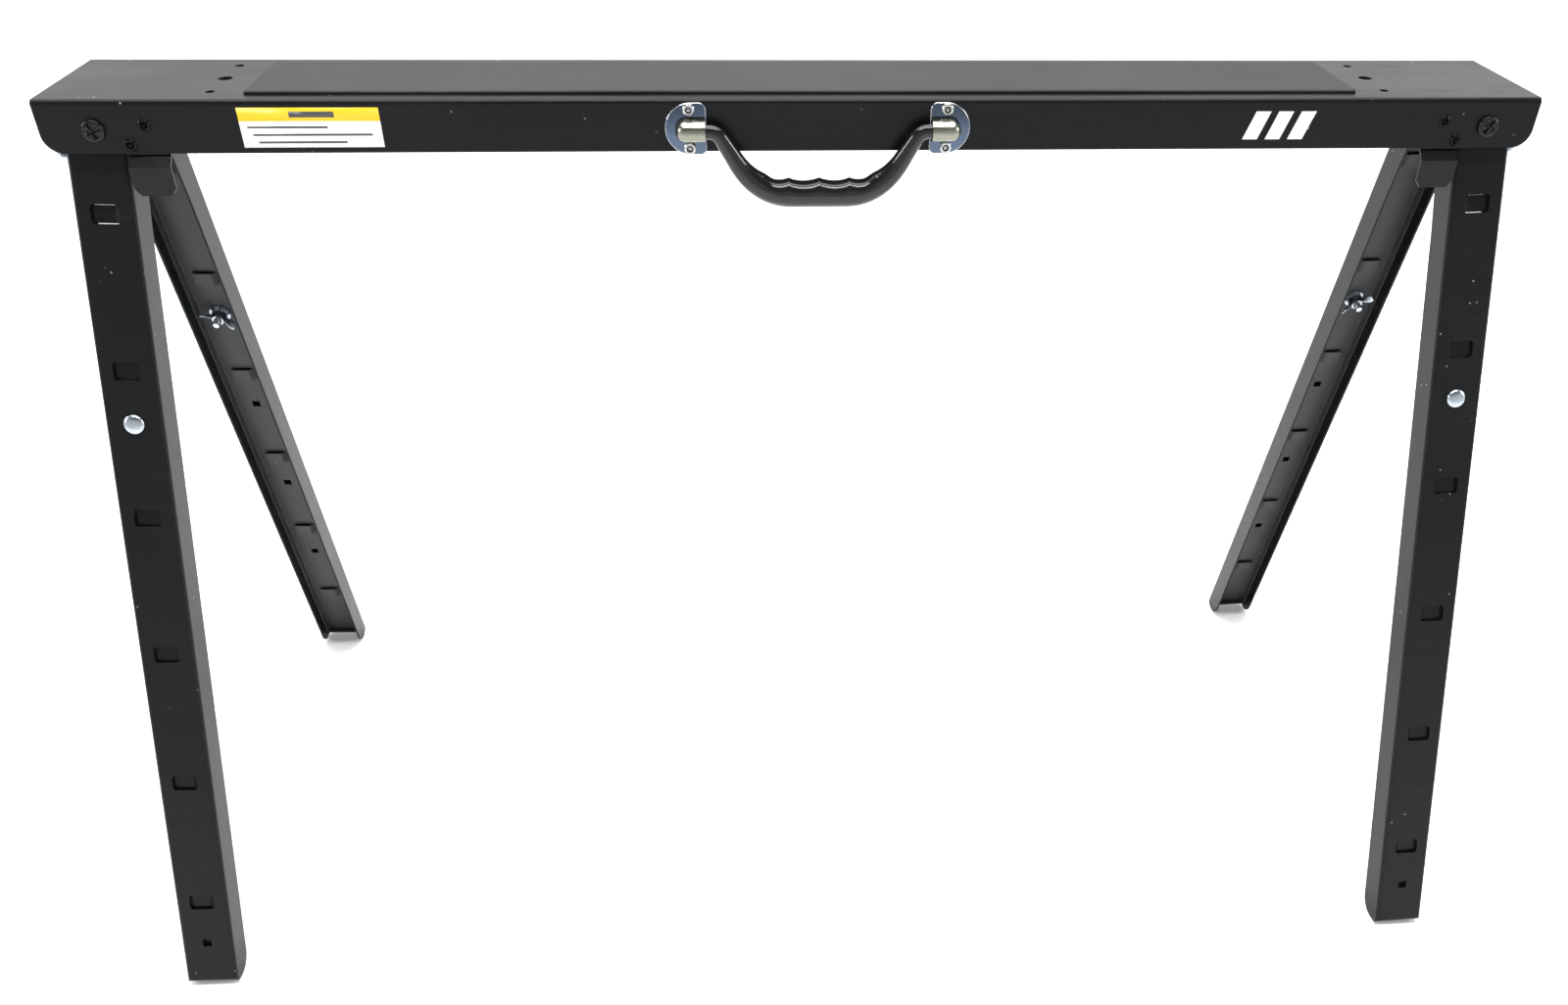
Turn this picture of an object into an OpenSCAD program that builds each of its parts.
// Folding sawhorse: a pressed steel beam on two pairs of channel legs.
// +X runs along the beam, +Y to the rear, +Z up. The origin is on the floor under the beam's centre.

/* [Beam] */
// Length of the beam
beam_l = 1067; // [1000:1:1120]
// Width of the beam across its outer walls
beam_w = 112; // [110:0.5:116]
// Depth of the beam's side walls
beam_h = 36; // [34:0.5:38]
// Thickness of the beam's sheet
beam_t = 1.8; // [1.5:0.1:2]
// Height of the beam's top face above the floor
stand_h = 685.8; // [660:0.1:700]

/* [Top mat] */
// Length of the rubber mat
mat_l = 794; // [700:1:810]
// Width of the rubber mat
mat_w = 82.5; // [60:0.5:96]
// Thickness of the rubber mat
mat_t = 2.2; // [2:0.1:5]

/* [Legs] */
// Angle that each leg leans out to its own side
splay = 17.5; // [15:0.5:18]
// Angle that each pair of legs leans out past the vertical
tilt = 2; // [1:0.1:2.5]
// Width of an outer leg across its flanges
leg_w = 41.3; // [40:0.1:42]
// Depth of an outer leg from its web to its free edges
leg_d = 26; // [22:0.5:27]
// Thickness of an outer leg's sheet
leg_t = 1.8; // [1.5:0.1:2]
// Distance between the lanced tabs of a leg
tab_pitch = 111.1; // [100:0.1:112]
// Number of lanced tabs in a leg
tabs = 6; // [5:1:6]

/* [Handle] */
// Distance between the outer edges of the handle's two brackets
handle_span = 217.6; // [215:0.1:230]
// Radius of the handle's grip
grip_r = 10.8; // [9.5:0.1:11]

/* [Hidden] */

$fn = 48;
// Cuts reach this far past the faces that they go through
cut = 1;

// Sides and ends: left and right are along X, front and rear are along Y
left = -1;
right = 1;
front = -1;
rear = 1;

// Pivot of a leg pair: below the beam's top, and in from the beam's end
pivot_drop = 20;
pivot_x = beam_l / 2 - 36.5;
pivot_z = stand_h - pivot_drop;
pivot_r = 4;
pivot_fit = 0.05;
pivot_head_r = 7.5;
pivot_crown_r = 6;
pivot_head_step = 2;
pivot_tail = 8;
pivot_nut_h = 6.5;
pivot_washer_r = 9;
pivot_washer_t = 1.5;
spacer_r = 9;
spacer_gap = 0.2;
sleeve_r = 6.5;

// Splay hinge of a leg, from the pivot: below it, and out to the leg's side
hinge_drop = 24;
hinge_y = 33;
pin_r = 4;
splay_head_r = 6.5;
splay_head_h = 1.8;
splay_gap = 0.2;
splay_washer_r = 8.5;
splay_washer_t = 1.5;
splay_washer_gap = 0.1;
splay_nut_r = 7.5;
splay_nut_h = 6.5;
splay_tip = 11;

// Leg section: x points to the beam's centre, y points out of the web, z points up the leg
web_y = 16.5;
flange_in = 14.65;
flange_out = flange_in - leg_w;
web_x = (flange_in + flange_out) / 2;
web_top = 4;
ear_r = 12;
taper_z = -60;
bend_r = 3;
foot_r = 16;
toe_r = 5;

// Length from the splay hinge to the foot, so that the lowest flange edge is on the floor
foot_rise = (web_y + foot_r - leg_d) * sin(splay) - foot_r * (1 - cos(splay));
head_h = (pivot_z - flange_in * sin(tilt)) / cos(tilt);
leg_s = (head_h - hinge_drop + foot_rise) / cos(splay);

// Lanced tabs and bolt holes, as distances down the leg from the splay hinge
tab_end = 78.5;
tab_1 = leg_s - tab_end - (tabs - 1) * tab_pitch;
bolt_after_tab = 39;
bolt_s = tab_1 + tab_pitch + bolt_after_tab;
tab_w = 19.5;
tab_h = 13.5;
tab_r = 2.5;
tab_gap = 0.5;
tab_push = 3;

// Inner leg, which slides in the outer leg
inner_gap = 0.3;
inner_w = leg_w - 2 * leg_t - 2 * inner_gap;
inner_d = 9;
inner_t = 1.6;
inner_bend_r = 2.4;
inner_y = web_y - 5.4;
inner_top = tab_1 - 25;
inner_end = leg_s - 5;
lip_d = 7;

// Height lock: carriage bolt, washer and wing nut
bolt_r = 3.2;
neck = 7;
clamp_y = inner_y - inner_t;
washer_r = 8.5;
washer_t = 1.5;
wing_gap = 0.2;
wing_span = 29;
wing_h = 12;
wing_t = 2.5;
wing_ear_r = 4.5;
wing_hub_h = 8;
bolt_tail = 3;

// Yoke: box of sheet round the pivot, which carries the two splay pins
yoke_t = 2.5;
yoke_gap = 0.3;
yoke_in = flange_in - leg_t - yoke_gap;
yoke_out = flange_out + leg_t + yoke_gap;
yoke_y = 51;
yoke_lobe_r = 8;
yoke_lobe_y = hinge_y + 11;
yoke_top = 8;
yoke_waist = -12;
yoke_low = -hinge_drop - 11;

// Leg guide: sheet tab inside the beam's wall, which steps outwards below the wall at two bends
wall_y = beam_w / 2;
guide_t = 1.2;
guide_y = wall_y - beam_t - guide_t;
guide_x0 = 17.5;
guide_x1 = 46;
guide_top = 9;
guide_step = 7;
guide_bend = -(beam_h - pivot_drop) - 1.5;
guide_low = guide_bend - guide_step - 19.5;
guide_chamfer = 5;
guide_rivets_xz = [[34, 3.5], [21.5, -10]];
rivet_r = 2;
rivet_head_r = 3.75;
rivet_head_h = 1.2;

// Holes in the beam's top, on a line across each end
top_hole_x = beam_l / 2 - 112;
top_hole_r = 5;
side_hole_r = 3.2;
side_hole_y = 35;

// Handle: a bail on the front wall that turns on two pins
axis_y = -wall_y - 8.5;
arm_r = 5.3;
arm_x = handle_span / 2 - 25.8;
bracket_w = 29;
bracket_h = 36;
bracket_t = 2;
boss_w = 13;
boss_r = 8.3;
handle_pin_r = 3;
handle_rivets_xz = [[-17, 13.4], [-17, -13.4]];
// Right half of the bail: distance from the middle, height from the axis, and radius
bail = [
    [arm_x, 0, arm_r], [arm_x - 8, 0, arm_r], [arm_x - 14, -5, arm_r + 0.2],
    [52, -28.5, grip_r - 3.2], [43, -38, grip_r - 1.6], [28, -43, grip_r - 0.3], [0, -43.4, grip_r]
];
bail_sides = 14;
bail_steps = 3;

// Label and decal on the front wall
sticker_t = 0.25;
label_w = 95;
label_h = 27;
label_x = -352;
decal_x = 338;
decal_pitch = 17;

// A rectangle with its top corners rounded, standing on y = 0
module dome_rect(w, h, r) {
    translate([-w / 2, 0]) square([w, h - r]);
    translate([-w / 2 + r, 0]) square([w - 2 * r, h]);
    for (side = [-1, 1]) translate([side * (w / 2 - r), h - r]) circle(r);
}

// A rectangle with all its corners rounded, centred
module round_rect(w, h, r) {
    square([w - 2 * r, h], center = true);
    square([w, h - 2 * r], center = true);
    for (x = [-1, 1], y = [-1, 1]) translate([x * (w / 2 - r), y * (h / 2 - r)]) circle(r);
}

// A channel section that opens downwards, with its web's outer face on y = 0
module channel(w, d, t, r) {
    translate([0, -d]) difference() {
        dome_rect(w, d, r);
        translate([0, -cut]) dome_rect(w - 2 * t, d + cut - t, max(r - t, 0.4));
    }
}

// A solid whose outline is drawn in X and Z, between two places along Y
module slab_y(y0, y1) {
    translate([0, y1, 0]) rotate([90, 0, 0]) linear_extrude(y1 - y0) children();
}

// A solid whose outline is drawn in Y and Z, between two places along X
module slab_x(x0, x1) {
    translate([x0, 0, 0]) rotate([90, 0, 90]) linear_extrude(x1 - x0) children();
}

// A cylinder along Y, between two places
module rod_y(r, y0, y1) {
    translate([0, y1, 0]) rotate([90, 0, 0]) cylinder(r = r, h = y1 - y0);
}

// A cylinder along X, between two places
module rod_x(r, x0, x1) {
    translate([x0, 0, 0]) rotate([0, 90, 0]) cylinder(r = r, h = x1 - x0);
}

// Places a leg pair's parts: the frame has its origin on the pivot, with +x to the beam's centre
module at_pivot(end) {
    translate([end * pivot_x, 0, pivot_z]) mirror([end > 0 ? 1 : 0, 0, 0]) children();
}

// The same frame, leaning with the leg pair
module at_head(end) {
    at_pivot(end) rotate([0, tilt, 0]) children();
}

// Mirrors what is made for the rear side to the front side
module on_side(side) {
    mirror([0, side < 0 ? 1 : 0, 0]) children();
}

// Places a leg's parts: the frame has its origin on the splay hinge, with +y out of the web
module at_leg(end, side) {
    at_head(end) on_side(side) translate([0, hinge_y, -hinge_drop]) rotate([splay, 0, 0]) children();
}

// ---- Beam ----

module beam_section() {
    slab_x(-beam_l / 2, beam_l / 2) translate([0, stand_h]) channel(beam_w, beam_h, beam_t, 3.5);
}

// Side view of the beam, with its lower corners rounded
module beam_outline() {
    translate([0, stand_h]) mirror([0, 1]) dome_rect(beam_l, beam_h, 13);
}

module beam_holes() {
    for (end = [left, right]) {
        at_pivot(end) rod_y(pivot_r + pivot_fit, -wall_y - cut, wall_y + cut);
        translate([end * top_hole_x, 0, stand_h - beam_t - cut]) {
            cylinder(r = top_hole_r, h = beam_t + 2 * cut);
            for (side = [front, rear])
                translate([0, side * side_hole_y, 0]) cylinder(r = side_hole_r, h = beam_t + 2 * cut);
        }
        for (side = [front, rear]) at_pivot(end) on_side(side) at_guide_rivets()
            rod_y(rivet_r, guide_y - cut, wall_y + cut);
        at_handle_rivets(end) rod_y(rivet_r, -wall_y - cut, -wall_y + beam_t + cut);
    }
}

module beam() {
    color("#26272a") difference() {
        intersection() {
            beam_section();
            slab_y(-wall_y - cut, wall_y + cut) beam_outline();
        }
        beam_holes();
    }
}

module top_mat() {
    color("#3b3c3e") translate([0, 0, stand_h]) linear_extrude(mat_t) round_rect(mat_l, mat_w, 2);
}

// ---- Handle ----

// A point of the bail's centre line and its radius, on the smooth curve through four points
function smooth(a, b, c, d, t) =
    0.5 * (2 * b + (c - a) * t + (2 * a - 5 * b + 4 * c - d) * t * t + (3 * b - a - 3 * c + d) * t * t * t);

function flipped(p) = [-p[0], p[1], p[2]];
function last(points) = len(points) - 1;

// The whole bail from right to left
bail_points = concat(bail, [for (i = [last(bail) - 1 : -1 : 0]) flipped(bail[i])]);
function bail_at(i) = bail_points[min(max(i, 0), last(bail_points))];

bail_line = concat(
    [for (i = [0 : last(bail_points) - 1], k = [0 : bail_steps - 1])
        smooth(bail_at(i - 1), bail_at(i), bail_at(i + 1), bail_at(i + 2), k / bail_steps)],
    [bail_at(last(bail_points))]
);

// Direction of the bail's centre line at a point, in degrees above +X
function bail_angle(i) =
    let (
        a = bail_line[max(i - 1, 0)],
        b = bail_line[min(i + 1, last(bail_line))]
    )
    (i == 0 || i == last(bail_line)) ? 180 : atan2(b[1] - a[1], b[0] - a[0]);

function bail_ring(i) =
    let (p = bail_line[i], turn = bail_angle(i))
    [for (k = [0 : bail_sides - 1]) let (around = 360 * k / bail_sides, out = p[2] * cos(around)) [
        p[0] - out * sin(turn), p[2] * sin(around), p[1] + out * cos(turn)
    ]];

function ring_faces(i) =
    [for (k = [0 : bail_sides - 1]) let (a = i * bail_sides + k, b = i * bail_sides + (k + 1) % bail_sides)
        [a, b, b + bail_sides, a + bail_sides]];

module handle() {
    rings = [for (i = [0 : last(bail_line)]) each bail_ring(i)];
    sides = [for (i = [0 : last(bail_line) - 1]) each ring_faces(i)];
    near_cap = [for (k = [bail_sides - 1 : -1 : 0]) k];
    far_cap = [for (k = [0 : bail_sides - 1]) last(bail_line) * bail_sides + k];
    color("#101113") translate([0, axis_y, pivot_z])
        polyhedron(points = rings, faces = concat(sides, [near_cap], [far_cap]), convexity = 4);
}

module handle_pins() {
    color("#8f9294") for (end = [left, right])
        translate([0, axis_y, pivot_z]) mirror([end > 0 ? 0 : 1, 0, 0])
            rod_x(handle_pin_r, arm_x, arm_x + boss_w);
}

// Places a bracket's parts: x points away from the handle, from the bracket's outer edge
module at_bracket(end) {
    mirror([end > 0 ? 0 : 1, 0, 0]) translate([handle_span / 2, 0, pivot_z]) children();
}

module at_handle_rivets(end) {
    at_bracket(end) for (p = handle_rivets_xz) translate([p[0], 0, p[1]]) children();
}

// D-shaped plate with its round side away from the handle
module bracket_outline() {
    translate([-bracket_w, -bracket_h / 2]) square([bracket_w - bracket_h / 2, bracket_h]);
    translate([-bracket_h / 2, 0]) circle(bracket_h / 2);
}

module handle_bracket(end) {
    boss_x = -(handle_span / 2 - arm_x) + 0.5;
    color("#a9adb0") difference() {
        union() {
            at_bracket(end) slab_y(-wall_y - bracket_t, -wall_y) bracket_outline();
            at_bracket(end) translate([0, axis_y, 0]) {
                rod_x(boss_r, boss_x, boss_x + boss_w);
                translate([boss_x, 0, -boss_r]) cube([boss_w, -wall_y - axis_y, 2 * boss_r]);
            }
        }
        at_bracket(end) translate([0, axis_y, 0])
            rod_x(handle_pin_r + pivot_fit, boss_x - cut, boss_x + boss_w + cut);
        at_handle_rivets(end) rod_y(rivet_r, -wall_y - bracket_t - cut, -wall_y + cut);
    }
}

// A blind rivet through a wall, with a low round head outside and a flat end inside
module rivet(head_y, end_y) {
    rod_y(rivet_r, head_y, end_y);
    rod_y(rivet_head_r, head_y - rivet_head_h, head_y);
}

module handle_rivets() {
    color("#b4b6b8") for (end = [left, right])
        at_handle_rivets(end) rivet(-wall_y - bracket_t, -wall_y + beam_t);
}

// ---- Pivot of a leg pair ----

module pivot_bolt(end) {
    color("#151617") at_pivot(end) {
        rod_y(pivot_r, -wall_y, wall_y + pivot_tail);
        rod_y(pivot_head_r, -wall_y - pivot_head_step, -wall_y);
        rod_y(pivot_crown_r, -wall_y - 2 * pivot_head_step, -wall_y - pivot_head_step);
    }
}

module pivot_nut(end) {
    color("#9a9da0") at_pivot(end) difference() {
        union() {
            rod_y(pivot_washer_r, wall_y, wall_y + pivot_washer_t);
            translate([0, wall_y + pivot_tail, 0]) rotate([90, 0, 0])
                cylinder(r = pivot_head_r, h = pivot_nut_h, $fn = 6);
        }
        rod_y(pivot_r + pivot_fit, wall_y - cut, wall_y + pivot_tail + cut);
    }
}

module pivot_spacers(end) {
    color("#c9c9c2") at_pivot(end) for (side = [front, rear]) on_side(side) difference() {
        rod_y(spacer_r, yoke_y + spacer_gap, wall_y - beam_t);
        rod_y(pivot_r + pivot_fit, yoke_y, wall_y);
    }
}

module pivot_sleeve(end) {
    color("#9a9da0") at_head(end) difference() {
        rod_y(sleeve_r, -yoke_y + yoke_t, yoke_y - yoke_t);
        rod_y(pivot_r + pivot_fit, -yoke_y, yoke_y);
    }
}

// Front view of the yoke: a broad bar at the pivot, with a lobe down to each splay pin
module yoke_outline() {
    lobe_z = yoke_low + yoke_lobe_r;
    lobe_y = yoke_lobe_y - yoke_lobe_r;
    translate([-yoke_y, yoke_waist]) square([2 * yoke_y, yoke_top - yoke_waist]);
    translate([-yoke_lobe_y, lobe_z]) square([2 * yoke_lobe_y, yoke_waist - lobe_z]);
    translate([-lobe_y, yoke_low]) square([2 * lobe_y, yoke_lobe_r]);
    for (side = [-1, 1]) translate([side * lobe_y, lobe_z]) circle(yoke_lobe_r);
}

module yoke(end) {
    color("#1d1e20") at_head(end) difference() {
        slab_x(yoke_out, yoke_in) yoke_outline();
        translate([yoke_out + yoke_t, -yoke_y + yoke_t, yoke_low - cut])
            cube([yoke_in - yoke_out - 2 * yoke_t, 2 * (yoke_y - yoke_t), yoke_top - yoke_low + 2 * cut]);
        rod_y(pivot_r + pivot_fit, -yoke_y - cut, yoke_y + cut);
        for (side = [-1, 1]) translate([0, side * hinge_y, -hinge_drop])
            rod_x(pin_r + pivot_fit, yoke_out - cut, yoke_in + cut);
    }
}

// ---- Leg guides ----

module at_guide_rivets() {
    for (p = guide_rivets_xz) translate([p[0], 0, p[1]]) children();
}

// Side view of a guide, with its lower corners cut off
module guide_outline() {
    polygon([
        [guide_x0, guide_top], [guide_x1, guide_top], [guide_x1, guide_low + guide_chamfer],
        [guide_x1 - guide_chamfer, guide_low - cut], [guide_x0 + guide_chamfer, guide_low - cut],
        [guide_x0, guide_low + guide_chamfer]
    ]);
}

// End view of a guide: flat against the wall, a step outwards at 45 degrees, then upright again
module guide_section() {
    inner = [[0, guide_top], [0, guide_bend], [guide_step, guide_bend - guide_step], [guide_step, guide_low]];
    mitre = guide_t * tan(22.5);
    polygon([
        for (p = inner) [guide_y + p[0], p[1]],
        [guide_y + guide_step + guide_t, guide_low],
        [guide_y + guide_step + guide_t, guide_bend - guide_step + mitre],
        [guide_y + guide_t, guide_bend + mitre],
        [guide_y + guide_t, guide_top]
    ]);
}

module leg_guide(end, side) {
    color("#1b1c1e") at_pivot(end) on_side(side) difference() {
        intersection() {
            slab_x(guide_x0, guide_x1) guide_section();
            slab_y(guide_y - cut, wall_y + guide_x0) guide_outline();
        }
        at_guide_rivets() rod_y(rivet_r, guide_y - cut, guide_y + guide_t + cut);
    }
}

module guide_rivets() {
    color("#1b1c1e") for (end = [left, right], side = [front, rear])
        at_pivot(end) on_side(side) at_guide_rivets()
            mirror([0, 1, 0]) rivet(-wall_y, -guide_y);
}

// ---- Splay hinge ----

module splay_pin(end, side) {
    color("#a6a9ab") at_head(end) on_side(side) translate([0, hinge_y, -hinge_drop]) {
        rod_x(pin_r, flange_out - splay_tip, flange_in + splay_gap);
        rod_x(splay_head_r, flange_in + splay_gap, flange_in + splay_gap + splay_head_h);
        translate([flange_out - splay_washer_t - splay_nut_h, 0, 0]) rotate([0, 90, 0])
            cylinder(r = splay_nut_r, h = splay_nut_h, $fn = 6);
    }
}

module splay_washer(end, side) {
    color("#b4b6b8") at_head(end) on_side(side) translate([0, hinge_y, -hinge_drop]) difference() {
        rod_x(splay_washer_r, flange_out - splay_washer_t, flange_out - splay_washer_gap);
        rod_x(pin_r + pivot_fit, flange_out - splay_washer_t - cut, flange_out + cut);
    }
}

// ---- Legs ----

// Side view of an outer leg in its own Y and Z: ear at the top, rounded foot at the bottom
module leg_side() {
    edge_y = web_y - leg_d;
    circle(ear_r);
    polygon([
        [0, 0], [-ear_r, 0], [edge_y, taper_z], [web_y, taper_z], [web_y, web_top], [ear_r - 2, ear_r / 2]
    ]);
    translate([edge_y, -leg_s + foot_r]) square([leg_d, leg_s - foot_r + taper_z + cut]);
    translate([edge_y + foot_r, -leg_s]) square([leg_d - foot_r - toe_r, foot_r + cut]);
    translate([edge_y + foot_r, -leg_s + foot_r]) circle(foot_r);
    translate([web_y - toe_r, -leg_s + toe_r]) square([toe_r, foot_r]);
    translate([web_y - toe_r, -leg_s + toe_r]) circle(toe_r);
}

// Places a cut or a tab on the web's middle, at a distance down the leg
module on_web(s) {
    translate([web_x, 0, -s]) children();
}

module tab_window(y0, y1) {
    slab_y(y0, y1) round_rect(tab_w, tab_h, tab_r);
}

// A lanced tab: it stays joined on the side near the beam's centre, bends into the channel, then runs
// parallel to the web
module lanced_tab(face_y, t) {
    root_x = tab_w / 2 + tab_gap;
    bend_x = root_x - tab_push - 1;
    free_x = -tab_w / 2 + tab_gap;
    height = tab_h - 2 * tab_gap;
    translate([0, 0, -height / 2]) linear_extrude(height) polygon([
        [root_x, face_y], [bend_x, face_y - tab_push], [free_x, face_y - tab_push],
        [free_x, face_y - tab_push - t], [bend_x - t / 2, face_y - tab_push - t], [root_x, face_y - t]
    ]);
}

module square_hole(y0, y1) {
    slab_y(y0, y1) square(neck, center = true);
}

module outer_leg(end, side) {
    color("#2b2c2f") at_leg(end, side) {
        difference() {
            intersection() {
                translate([web_x, web_y, -leg_s - cut]) linear_extrude(leg_s + 2 * ear_r)
                    channel(leg_w, leg_d + 6, leg_t, bend_r);
                slab_x(flange_out, flange_in) leg_side();
            }
            // The web ends inside the beam, so that only the two ears go round the hinge
            translate([flange_out + leg_t, -ear_r - cut, web_top])
                cube([leg_w - 2 * leg_t, ear_r + web_y + 2 * cut, 2 * ear_r]);
            rod_x(pin_r + pivot_fit, flange_out - cut, flange_in + cut);
            for (i = [0 : tabs - 1])
                on_web(tab_1 + i * tab_pitch) tab_window(web_y - leg_t - cut, web_y + cut);
            for (s = [bolt_s, tab_1 + (tabs - 1) * tab_pitch + bolt_after_tab])
                on_web(s) square_hole(web_y - leg_t - cut, web_y + cut);
        }
        for (i = [0 : tabs - 1]) on_web(tab_1 + i * tab_pitch) lanced_tab(web_y, leg_t);
    }
}

module inner_leg(end, side) {
    color("#34353a") at_leg(end, side) {
        difference() {
            union() {
                translate([web_x, inner_y, -inner_end]) linear_extrude(inner_end - inner_top)
                    channel(inner_w, inner_d, inner_t, inner_bend_r);
                translate([web_x - inner_w / 2 + inner_t, inner_y - lip_d, -inner_end])
                    cube([inner_w - 2 * inner_t, lip_d - 0.5, inner_t]);
            }
            for (i = [0 : tabs - 1])
                on_web(tab_1 + i * tab_pitch) tab_window(inner_y - inner_t - cut, inner_y + cut);
            for (i = [1 : tabs - 2]) on_web(tab_1 + i * tab_pitch + bolt_after_tab)
                square_hole(inner_y - inner_t - cut, inner_y + cut);
        }
        for (i = [0 : tabs - 1]) on_web(tab_1 + i * tab_pitch) lanced_tab(inner_y, inner_t);
    }
}

// ---- Height lock ----

module at_lock(end, side) {
    at_leg(end, side) on_web(bolt_s) children();
}

module carriage_bolt(end, side) {
    dome_r = 9;
    head_r = 7.5;
    head_h = 3.2;
    color("#b9bcbf") at_lock(end, side) {
        rod_y(bolt_r, clamp_y - washer_t - wing_h - bolt_tail, web_y);
        slab_y(web_y - leg_t, web_y) square(neck, center = true);
        intersection() {
            translate([0, web_y + head_h - dome_r, 0]) sphere(dome_r);
            rod_y(head_r, web_y, web_y + head_h);
        }
    }
}

module clamp_washer(end, side) {
    color("#b4b6b8") at_lock(end, side) difference() {
        rod_y(washer_r, clamp_y - washer_t, clamp_y);
        rod_y(bolt_r + pivot_fit, clamp_y - washer_t - cut, clamp_y + cut);
    }
}

// One wing of the wing nut, in X and Y: it leans outwards and ends in a round ear
module wing_outline(wing_side) {
    ear = [wing_span / 2 - wing_ear_r, -wing_h + wing_ear_r];
    mirror([wing_side < 0 ? 1 : 0, 0]) {
        translate(ear) circle(wing_ear_r);
        polygon([[0, -1], [0, -wing_hub_h + 1], [ear[0] - 0.5, -wing_h], [ear[0] + 3, ear[1] + 3.4]]);
    }
}

module wing_nut(end, side) {
    base_y = clamp_y - washer_t - wing_gap;
    color("#b9bcbf") at_lock(end, side) difference() {
        union() {
            translate([0, base_y, 0]) rotate([90, 0, 0]) cylinder(r1 = 6.5, r2 = 5, h = wing_hub_h);
            for (wing_side = [-1, 1]) translate([0, base_y, -wing_t / 2])
                linear_extrude(wing_t) wing_outline(wing_side);
        }
        rod_y(bolt_r + pivot_fit, base_y - wing_h - cut, base_y + cut);
    }
}

// ---- Label and decal ----

module on_front_wall(x, z) {
    translate([x, 0, z]) slab_y(-wall_y - sticker_t, -wall_y) children();
}

module label() {
    color("#e6e6df") on_front_wall(label_x, pivot_z + 1.5) round_rect(label_w, label_h, 1.5);
}

// Three slanted bars, which stand for no mark
module decal() {
    color("#e9e9e6") for (i = [-1 : 1]) on_front_wall(decal_x + decal_pitch * i, pivot_z + 1)
        polygon([[-9, -10], [2, -10], [9, 10], [-2, 10]]);
}

beam();
top_mat();
label();
decal();
handle();
handle_pins();
handle_bracket(left);  // handle_bracket_left
handle_bracket(right);  // handle_bracket_right
handle_rivets();
pivot_bolt(left);  // pivot_bolt_left
pivot_bolt(right);  // pivot_bolt_right
pivot_nut(left);  // pivot_nut_left
pivot_nut(right);  // pivot_nut_right
pivot_spacers(left);  // pivot_spacers_left
pivot_spacers(right);  // pivot_spacers_right
pivot_sleeve(left);  // pivot_sleeve_left
pivot_sleeve(right);  // pivot_sleeve_right
yoke(left);  // yoke_left
yoke(right);  // yoke_right
guide_rivets();
leg_guide(left, front);  // leg_guide_front_left
leg_guide(right, front);  // leg_guide_front_right
leg_guide(left, rear);  // leg_guide_rear_left
leg_guide(right, rear);  // leg_guide_rear_right
splay_pin(left, front);  // splay_pin_front_left
splay_pin(right, front);  // splay_pin_front_right
splay_pin(left, rear);  // splay_pin_rear_left
splay_pin(right, rear);  // splay_pin_rear_right
splay_washer(left, front);  // splay_washer_front_left
splay_washer(right, front);  // splay_washer_front_right
splay_washer(left, rear);  // splay_washer_rear_left
splay_washer(right, rear);  // splay_washer_rear_right
outer_leg(left, front);  // outer_leg_front_left
outer_leg(right, front);  // outer_leg_front_right
outer_leg(left, rear);  // outer_leg_rear_left
outer_leg(right, rear);  // outer_leg_rear_right
inner_leg(left, front);  // inner_leg_front_left
inner_leg(right, front);  // inner_leg_front_right
inner_leg(left, rear);  // inner_leg_rear_left
inner_leg(right, rear);  // inner_leg_rear_right
carriage_bolt(left, front);  // carriage_bolt_front_left
carriage_bolt(right, front);  // carriage_bolt_front_right
carriage_bolt(left, rear);  // carriage_bolt_rear_left
carriage_bolt(right, rear);  // carriage_bolt_rear_right
clamp_washer(left, front);  // clamp_washer_front_left
clamp_washer(right, front);  // clamp_washer_front_right
clamp_washer(left, rear);  // clamp_washer_rear_left
clamp_washer(right, rear);  // clamp_washer_rear_right
wing_nut(left, front);  // wing_nut_front_left
wing_nut(right, front);  // wing_nut_front_right
wing_nut(left, rear);  // wing_nut_rear_left
wing_nut(right, rear);  // wing_nut_rear_right
